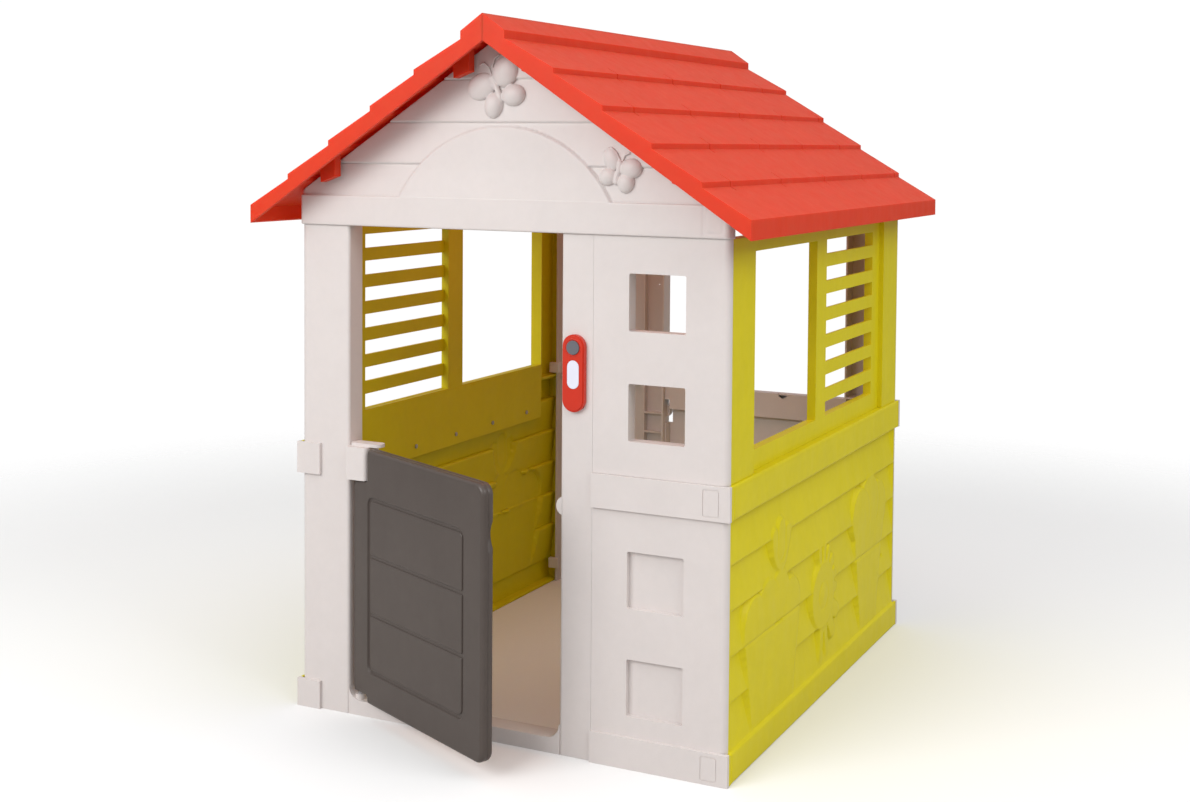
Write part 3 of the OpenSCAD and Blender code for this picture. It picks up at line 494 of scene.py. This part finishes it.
def gable(name, node, turned):
    """Sheet with the clapboards, the band and the blank plaque, cut to the roof's slopes."""
    z_low = GABLE_LOW * 1000 + 0.1
    band_top = LINES[0]
    # rows and columns of the sheet, closer together at the edges
    zs = [z_low, z_low + 0.5, z_low + 1.4]
    zs += list(np.arange(z_low + 3, band_top - 4, 2.5))
    zs += [band_top + d for d in (-3, -1.6, -0.6, 0, 0.3)]
    for a, b in zip(LINES[:-1], LINES[1:]):
        zs += list(np.linspace(a + 1.0, b - 3.4, int((b - a) / 2.6)))
        zs += [b - 2.6, b - 1.6, b - 0.7, b - 0.2]
    near_end = np.array([0, 0.8, 2, 4, 6.5])
    xs = np.concatenate([near_end - GABLE_HALF, np.linspace(9 - GABLE_HALF, GABLE_HALF - 9, 337),
                         GABLE_HALF - near_end[::-1]])
    X, Z = np.meshgrid(xs, np.array(sorted(set(np.round(zs, 3)))))
    h = np.zeros(X.shape)
    # clapboards lean back towards their top and end in a groove
    for a, b in zip(LINES[:-1], LINES[1:]):
        board = (Z > a) & (Z <= b)
        h = np.where(board, 0.2 - 3.6 * (Z - a) / (b - a) + cut(b - Z, 1.5, 1.6), h)
        h = np.where(board & (Z - a < 1.2), h - 0.4 * (1.2 - (Z - a)), h)
    # plaque
    disc = d_circle(X, Z, *PLAQUE_AT, PLAQUE_R)
    plaque = 5.6 - 1.8 * np.clip((Z - band_top) / 50, 0, 1) + shift_edge(disc, out=5.0, into=2.5, lip=0.8)
    h = np.where(Z > band_top - 0.1, np.maximum(h, plaque), h)
    # band, running into the plaque
    in_plaque = np.clip(disc / 3, 0, 1)
    band = BAND_RISE - rounded(band_top + 0.2 - Z, 3.0)
    h = np.where(Z <= band_top, band * (1 - in_plaque) + PLAQUE_RISE * in_plaque, h)
    # outlined cap and seam beside each corner
    cap = d_box(X, Z, *CAP)
    h += cut(cap, 1.1, 1.1) * (np.abs(cap) < 4)
    seam = np.abs(X - SEAM_X)
    h += cut(seam, 1.0, 1.0) * ((Z < SEAM_TOP) & (seam < 4))
    # bottom edge and upright corners
    h -= rounded(Z - z_low, 2.5)
    h -= rounded(GABLE_HALF - np.abs(X), 9.0)
    bm = bmesh.new()
    grid(bm, X, -GABLE_Y - h, Z, turned)
    for side in (1, -1) if turned else (-1, 1):
        bmesh.ops.bisect_plane(bm, geom=bm.verts[:] + bm.edges[:] + bm.faces[:], dist=1e-6,
                               plane_co=to_world(0, 0, GABLE_PEAK), clear_outer=True,
                               plane_no=Vector((side * ROOF_SLOPE, 0, 1)).normalized())
    rim = bmesh.ops.extrude_edge_only(bm, edges=[e for e in bm.edges if e.is_boundary])
    for v in rim["geom"]:
        if isinstance(v, bmesh.types.BMVert):
            v.co.y = to_world(0, -RIM_Y, 0, turned)[1]
    obj = finish_mesh(name, bm, "white_plastic", out=(0, 1 if turned else -1, 0))
    thicken(obj)
    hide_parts(node)


def bead(bm, x, z, radii, tilt, y, turned, subdivisions):
    """Icosphere stretched to radii along x, y and z, then tilted in the gable's plane."""
    a = math.radians(tilt)
    for v in bmesh.ops.create_icosphere(bm, subdivisions=subdivisions, radius=1.0)["verts"]:
        u, q, w = (v.co[i] * radii[i] for i in range(3))
        v.co = to_world(x + u * math.cos(a) - w * math.sin(a), y + q,
                        z + u * math.sin(a) + w * math.cos(a), turned)


def bead_line(bm, points, r, turned, steps=6):
    """Row of beads along a bent line, close enough to merge into a tube."""
    for i in range((len(points) - 1) * steps + 1):
        k, j = divmod(i, steps)
        a, b = points[k], points[min(k + 1, len(points) - 1)]
        t = j / steps
        bead(bm, a[0] + (b[0] - a[0]) * t, a[1] + (b[1] - a[1]) * t, (r, r * 1.1, r), 0,
             -GABLE_Y - 1.0, turned, 2)


def butterfly(name, wings, body, feelers, turned):
    """Puffed wings (x, z, half width, half height, tilt, puff), a body and feelers in one skin."""
    bm = bmesh.new()
    for x, z, rx, rz, tilt, puff in wings:
        bead(bm, x, z, (rx, puff, rz), tilt, -GABLE_Y + 1.0, turned, 4)
    bead_line(bm, body, 5.2, turned)
    for feeler in feelers:
        bead_line(bm, feeler, 1.9, turned)
    obj = finish_mesh(name, bm, "white_plastic")
    skin = obj.modifiers.new("skin", "REMESH")
    skin.mode = "VOXEL"
    skin.voxel_size = 0.0009
    skin.use_smooth_shade = True
    soft = obj.modifiers.new("soft", "SMOOTH")
    soft.factor = 0.5
    soft.iterations = 4


for tag, turned in (("front", False), ("back", True)):
    gable("gable_skin_" + tag, tag + "_gable", turned)
    butterfly("butterfly_high_" + tag,
              [(-42, 1149, 29, 23, 25, 11), (6, 1175, 24, 28, -25, 15), (22, 1134, 23, 19, 10, 14),
               (-17, 1116, 18, 23, -10, 14)],
              [(-20, 1164), (-13, 1150), (-6, 1136), (-4, 1124)],
              [[(-20, 1165), (-27, 1182), (-37, 1190), (-44, 1186)],
               [(-17, 1166), (-20, 1184), (-15, 1198), (-7, 1203)]], turned)
    butterfly("butterfly_low_" + tag,
              [(211, 1027, 15, 20, 20, 8), (248, 1011, 20, 17, 15, 12), (239, 987, 15, 18, -15, 12),
               (205, 997, 17, 15, 25, 11)],
              [(229, 1020), (226, 1008), (222, 996), (221, 988)],
              [[(229, 1021), (222, 1036), (212, 1045), (203, 1043)],
               [(231, 1021), (237, 1034), (245, 1037)]], turned)
lower_wall("lower_wall_skin_right", "right_lower_wall", False)
lower_wall("lower_wall_skin_left", "left_lower_wall", True)

# ---------------------------------------------------------------- half door
# The leaf is drawn in millimetres: s along it from the hinge, y across it, z up.
door_hinge = next(j for j in frame["joints"] if j["name"] == "door_hinge")
HINGE = Vector(door_hinge["pos_m"])
OPEN_ANGLE = math.radians(-door_hinge["range_deg"][0])  # from closed to the ajar rest
HALF_T, LEAF_L, LEAF_LOW, LEAF_TOP = 12.0, 410.7, 31.0, 496.0
NOTCH_S, NOTCH_Z, FOOT_Z = 39.0, 436.0, 45.0  # the ends of the hinge side are cut back
BORE_R, BORES = 5.0, ((20, 80), (390, 450))   # holes for the hinge pins, with their z
SEAM_RISE, SEAM_HALF = 0.8, (0.9, 0.35)       # bead where the two shells meet
GRIP_Z, GRIP_OUT, GRIP_R = 410, 22, 34        # finger hollow in the free edge
POCKET, POCKET_R = (44, 90, 356, 412), 16     # hollow of the outer side: s and z of two corners
# the pocket's rounded lip and foot: distance in from its outline, depth
POCKET_LIP = [(-1.6, 0), (-0.7, 0.15), (0.0, 0.7), (0.45, 1.6), (0.7, 2.7), (1.1, 3.3), (1.9, 3.5)]
FIELD_S = (51, 349)
FIELDS = ((97, 195), (201, 301), (307, 405))  # raised fields in the pocket, low and high z


def leaf_place(s, y, z):
    """Leaf millimetres to the frame's metres at rest."""
    ca, sa = math.cos(-OPEN_ANGLE), math.sin(-OPEN_ANGLE)
    return (HINGE.x + (s * ca - y * sa) * 0.001, HINGE.y + (s * sa + y * ca) * 0.001, z * 0.001)


def rounded_outline(corners, step=9.0, arc=10):
    """Closed outline through (s, z, radius) corners, with points along its straights."""
    pts = []

    def straight(start, end):
        k = int(np.linalg.norm(end - start) / step) + 1
        return [start + (end - start) * j / k for j in range(1, k)]

    n = len(corners)
    for i in range(n):
        p, c, q = (np.array(corners[k][:2], float) for k in (i - 1, i, (i + 1) % n))
        r = corners[i][2]
        a = (p - c) / np.linalg.norm(p - c)
        b = (q - c) / np.linalg.norm(q - c)
        half = math.acos(np.clip(a @ b, -1, 1)) / 2
        start, end = c + a * r / math.tan(half), c + b * r / math.tan(half)
        mid = c + (a + b) / np.linalg.norm(a + b) * (r / math.sin(half))
        a0 = math.atan2(*(start - mid)[::-1])
        a1 = math.atan2(*(end - mid)[::-1])
        turn = (a1 - a0 + math.pi) % (2 * math.pi) - math.pi
        if pts:
            pts += straight(pts[-1], start)
        for j in range(arc + 1):
            t = a0 + turn * j / arc
            pts.append(mid + r * np.array([math.cos(t), math.sin(t)]))
    pts += straight(pts[-1], pts[0])
    return np.array(pts)


def inward(pts):
    """Unit inward normals of a counter-clockwise outline."""
    t = np.roll(pts, -1, 0) - np.roll(pts, 1, 0)
    t /= np.linalg.norm(t, axis=1)[:, None]
    return np.stack([-t[:, 1], t[:, 0]], 1)


def moved_in(pts, normals, d, y):
    """Ring of leaf points: the outline moved inwards by d, at y across the leaf."""
    return [(p[0] + q[0] * d, y, p[1] + q[1] * d) for p, q in zip(pts, normals)]


def loft(bm, rings):
    """Quads between rings of leaf points, all of one length."""
    vs = [[bm.verts.new(leaf_place(*p)) for p in ring] for ring in rings]
    for a, b in zip(vs, vs[1:]):
        for i in range(len(a)):
            j = (i + 1) % len(a)
            bm.faces.new((a[i], a[j], b[j], b[i]))
    return vs


def field(bm, z0, z1, radii):
    """Raised field with a rounded rim; radii are for its four corners."""
    s0, s1 = FIELD_S
    y_top, y_low, r = 1.2 - HALF_T, 4 - HALF_T, 2.2
    pts = rounded_outline([(s0, z0, radii[0]), (s1, z0, radii[1]), (s1, z1, radii[2]), (s0, z1, radii[3])],
                          step=30)
    normals = inward(pts)
    rings = [moved_in(pts, normals, 0, y_low)]
    for angle in np.radians(np.linspace(0, 90, 5)):
        rings.append(moved_in(pts, normals, r * (1 - math.cos(angle)), y_top + r * (1 - math.sin(angle))))
    vs = loft(bm, rings)
    bm.faces.new(vs[-1])
    bm.faces.new(list(reversed(vs[0])))


def bored(obj, cutters):
    """Takes the cutter meshes out of obj for good."""
    for c in cutters:
        m = obj.modifiers.new("bore", "BOOLEAN")
        m.operation = "DIFFERENCE"
        m.solver = "EXACT"
        m.object = c
    bpy.context.view_layer.update()
    me = bpy.data.meshes.new_from_object(obj.evaluated_get(bpy.context.evaluated_depsgraph_get()))
    obj.modifiers.clear()
    old = obj.data
    obj.data = me
    bpy.data.meshes.remove(old)
    for c in cutters:
        data = c.data
        bpy.data.objects.remove(c)
        bpy.data.meshes.remove(data)


def bore_cutter(z0, z1):
    """Upright cylinder on the hinge's axis."""
    bm = bmesh.new()
    turns = np.linspace(0, 2 * math.pi, 33)[:-1]
    vs = loft(bm, [[(BORE_R * math.cos(t), BORE_R * math.sin(t), z) for t in turns] for z in (z0, z1)])
    bm.faces.new(list(reversed(vs[0])))
    bm.faces.new(vs[-1])
    bmesh.ops.recalc_face_normals(bm, faces=bm.faces[:])
    me = bpy.data.meshes.new("cutter")
    bm.to_mesh(me)
    bm.free()
    obj = bpy.data.objects.new("cutter", me)
    bpy.context.scene.collection.objects.link(obj)
    return obj


def past_grip(s, z):
    """s, or the edge of the finger hollow where that lies nearer the hinge."""
    if abs(z - GRIP_Z) >= GRIP_R:
        return s
    return min(s, LEAF_L + GRIP_OUT - math.sqrt(GRIP_R ** 2 - (z - GRIP_Z) ** 2))


def make_leaf():
    """The leaf's skin, lofted round its edge, with a pocket outside and a plain inner side."""
    round_s = HALF_T + 0.5
    pts = rounded_outline([(-HALF_T, FOOT_Z, round_s), (NOTCH_S, FOOT_Z, 3), (NOTCH_S, LEAF_LOW, 7),
                           (LEAF_L, LEAF_LOW, 20), (LEAF_L, LEAF_TOP, 20), (NOTCH_S, LEAF_TOP, 7),
                           (NOTCH_S, NOTCH_Z, 3), (-HALF_T, NOTCH_Z, round_s)])
    normals = inward(pts)
    # edge radius: half the thickness along the hinge side, 7 round the rest, 4 in the notches
    near = np.clip((6.0 - pts[:, 0]) / 18.0, 0, 1)
    at_notch = np.minimum(np.abs(pts[:, 1] - NOTCH_Z), np.abs(pts[:, 1] - FOOT_Z)) < 2
    in_notch = at_notch & (pts[:, 0] < NOTCH_S + 0.5) & (pts[:, 0] > 1 - HALF_T)
    radii = np.where(in_notch & (near < 0.5), 4.0, 7.0 * (1 - near) + HALF_T * near)

    def ring(phi, side):
        out = []
        for p, q, r in zip(pts, normals, radii):
            s, z = p + q * r * (1 - math.cos(phi))
            y = side * (HALF_T - r * (1 - math.sin(phi)))
            out.append((past_grip(s, z) if y > 0.6 else s, y, z))
        return out

    seam = [moved_in(pts, normals, d, y) for y, d in
            ((-SEAM_HALF[0], 0), (-SEAM_HALF[1], SEAM_RISE), (SEAM_HALF[1], SEAM_RISE), (SEAM_HALF[0], 0))]
    for k in (2, 3):
        seam[k] = [(past_grip(s, z), y, z) for s, y, z in seam[k]]
    angles = [math.radians(a) for a in range(90, -1, -15)]
    rings = [ring(a, -1) for a in angles] + seam + [ring(a, 1) for a in reversed(angles)]
    s0, z0, s1, z1 = POCKET
    inner = rounded_outline([(s0, z0, POCKET_R), (s1, z0, POCKET_R), (s1, z1, POCKET_R), (s0, z1, POCKET_R)],
                            step=20)
    inner_normals = inward(inner)
    lips = [moved_in(inner, inner_normals, d, y - HALF_T) for d, y in POCKET_LIP]
    bm = bmesh.new()
    outer = loft(bm, rings)
    lip = loft(bm, list(reversed(lips)))
    bm.faces.new(list(reversed(lip[0])))                     # pocket floor
    bm.faces.new(outer[-1])                                  # plain inner side
    edges = []
    for loop in (outer[0], lip[-1]):
        for i in range(len(loop)):
            edges.append(bm.edges.get((loop[i], loop[(i + 1) % len(loop)])))
    bmesh.ops.triangle_fill(bm, use_beauty=True, use_dissolve=False, edges=edges)
    leaf = finish_mesh("door_leaf", bm, "grey_plastic", body="door")
    bored(leaf, [bore_cutter(*span) for span in BORES])
    dress(leaf, "grey_plastic")
    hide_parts("door_outer_shell", "door_inner_shell")
    bm = bmesh.new()
    for (low, high), radii_here in zip(FIELDS, ((10, 10, 3, 3), (3, 3, 3, 3), (3, 3, 10, 10))):
        field(bm, low, high, radii_here)
    for obj in (leaf, finish_mesh("door_pads", bm, "grey_plastic", body="door")):
        weighted(obj, 80)


make_leaf()

# ---------------------------------------------------------------- bell plate trim
def bell_trim():
    """Moulded ring round the button, proud of the plate's face."""
    lo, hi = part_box("bell_button")
    cx, cz = (lo.x + hi.x) / 2, (lo.z + hi.z) / 2
    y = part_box("bell_plate")[0].y + 0.0002
    ring_r, tube = (hi.x - lo.x) / 2 + 0.0016, 0.0009
    steps, sides = 64, 12
    bm = bmesh.new()
    rings = []
    for i in range(steps):
        a = 2 * math.pi * i / steps
        ring = []
        for k in range(sides):
            b = 2 * math.pi * k / sides
            r = ring_r + tube * math.cos(b)
            ring.append(bm.verts.new((cx + r * math.cos(a), y + tube * math.sin(b), cz + r * math.sin(a))))
        rings.append(ring)
    for i in range(steps):
        for k in range(sides):
            n, m = (i + 1) % steps, (k + 1) % sides
            bm.faces.new((rings[i][k], rings[n][k], rings[n][m], rings[i][m]))
    finish_mesh("bell_trim", bm, "bell_red")


bell_trim()

# ---------------------------------------------------------------- stage
# The floor fades into the white surround. It gives the object less light than it shows the camera.
FLOOR_R, FLOOR_FADE = 1.6, 1.5
FLOOR_GIVES, FLOOR_SEEN = (0.55, 0.54, 0.53, 1), (0.93, 0.93, 0.93, 1)
# Studio dome: soft at the horizon, brighter overhead and on the viewer's side.
DOME_LOW, DOME_TOP, DOME_TILT, DOME_SEEN = 0.34, 0.98, 0.36, 1.02
VIEWER_SIDE = (0.416, -0.909, 0.0)
WHITE = (1.0, 1.0, 1.0, 1)


def make_floor():
    bpy.ops.mesh.primitive_circle_add(vertices=96, radius=FLOOR_R + FLOOR_FADE, fill_type="NGON",
                                      location=(0, 0, 0))
    floor = bpy.context.object
    floor.name = "floor"
    mat = bpy.data.materials.new("floor_pale")
    mat.use_nodes = True
    nt = mat.node_tree
    bsdf = nt.nodes["Principled BSDF"]
    bsdf.inputs["Roughness"].default_value = 0.9
    bsdf.inputs["Specular IOR Level"].default_value = 0.1
    shade = nt.nodes.new("ShaderNodeMix")
    shade.data_type = "RGBA"
    shade.inputs[6].default_value = FLOOR_GIVES
    shade.inputs[7].default_value = FLOOR_SEEN
    path = add(nt, "ShaderNodeLightPath")
    nt.links.new(path.outputs["Is Camera Ray"], shade.inputs[0])
    nt.links.new(shade.outputs[2], bsdf.inputs["Base Color"])
    coord = add(nt, "ShaderNodeTexCoord")
    away = add(nt, "ShaderNodeVectorMath")
    away.operation = "LENGTH"
    nt.links.new(coord.outputs["Object"], away.inputs[0])
    fade = add(nt, "ShaderNodeMapRange", From_Min=FLOOR_R, From_Max=FLOOR_R + FLOOR_FADE - 0.02,
               To_Min=1.0, To_Max=0.0)
    fade.interpolation_type = "SMOOTHSTEP"
    nt.links.new(away.outputs["Value"], fade.inputs["Value"])
    nt.links.new(fade.outputs["Result"], bsdf.inputs["Alpha"])
    floor.data.materials.append(mat)


def make_world():
    world = bpy.data.worlds.new("studio")
    bpy.context.scene.world = world
    world.use_nodes = True
    nt = world.node_tree
    light = nt.nodes["Background"]
    light.inputs["Color"].default_value = WHITE
    coord = add(nt, "ShaderNodeTexCoord")
    sep = add(nt, "ShaderNodeSeparateXYZ")
    nt.links.new(coord.outputs["Generated"], sep.inputs[0])
    height = add(nt, "ShaderNodeMapRange", From_Min=0.0, From_Max=1.0, To_Min=DOME_LOW, To_Max=DOME_TOP)
    nt.links.new(sep.outputs["Z"], height.inputs["Value"])
    facing = add(nt, "ShaderNodeVectorMath")
    facing.operation = "DOT_PRODUCT"
    facing.inputs[1].default_value = VIEWER_SIDE
    nt.links.new(coord.outputs["Generated"], facing.inputs[0])
    tilt = add(nt, "ShaderNodeMath")
    tilt.operation = "MULTIPLY_ADD"
    tilt.inputs[1].default_value = DOME_TILT
    tilt.inputs[2].default_value = 1.0
    nt.links.new(facing.outputs["Value"], tilt.inputs[0])
    level = add(nt, "ShaderNodeMath")
    level.operation = "MULTIPLY"
    nt.links.new(height.outputs["Result"], level.inputs[0])
    nt.links.new(tilt.outputs[0], level.inputs[1])
    nt.links.new(level.outputs[0], light.inputs["Strength"])
    seen = add(nt, "ShaderNodeBackground", Color=WHITE, Strength=DOME_SEEN)
    path = add(nt, "ShaderNodeLightPath")
    both = add(nt, "ShaderNodeMixShader")
    nt.links.new(path.outputs["Is Camera Ray"], both.inputs["Fac"])
    nt.links.new(light.outputs[0], both.inputs[1])
    nt.links.new(seen.outputs[0], both.inputs[2])
    nt.links.new(both.outputs[0], nt.nodes["World Output"].inputs["Surface"])


def area(name, place, target, size, power, color):
    """Area lamp at place, turned towards target."""
    data = bpy.data.lights.new(name, "AREA")
    data.shape = "RECTANGLE"
    data.size, data.size_y = size
    data.energy = power
    data.color = color
    lamp = bpy.data.objects.new(name, data)
    bpy.context.scene.collection.objects.link(lamp)
    lamp.location = place
    lamp.rotation_euler = (Vector(target) - Vector(place)).to_track_quat("-Z", "Y").to_euler()


make_floor()
make_world()
# name, place, what it points at, size, watts, colour; the last stands for light through the red roof
LAMPS = [("key", (-1.0, -3.2, 2.1), (0, -0.2, 1.0), (2.4, 1.4), 62, (1, 1, 1)),
         ("fill_right", (2.9, -0.9, 2.6), (0.2, 0.1, 0.7), (2.2, 1.8), 34, (1, 1, 1)),
         ("top", (0.3, 0.3, 3.6), (0, 0, 0.6), (2.6, 2.6), 6, (1, 1, 1)),
         ("through_roof", (0.0, WY, 1.10), (0.0, WY, 0.0), (0.45, 0.75), 1.2, (1.0, 0.56, 0.36))]
for lamp in LAMPS:
    area(*lamp)

bpy.context.scene.view_settings.view_transform = "Standard"
bpy.context.scene.view_settings.look = "None"
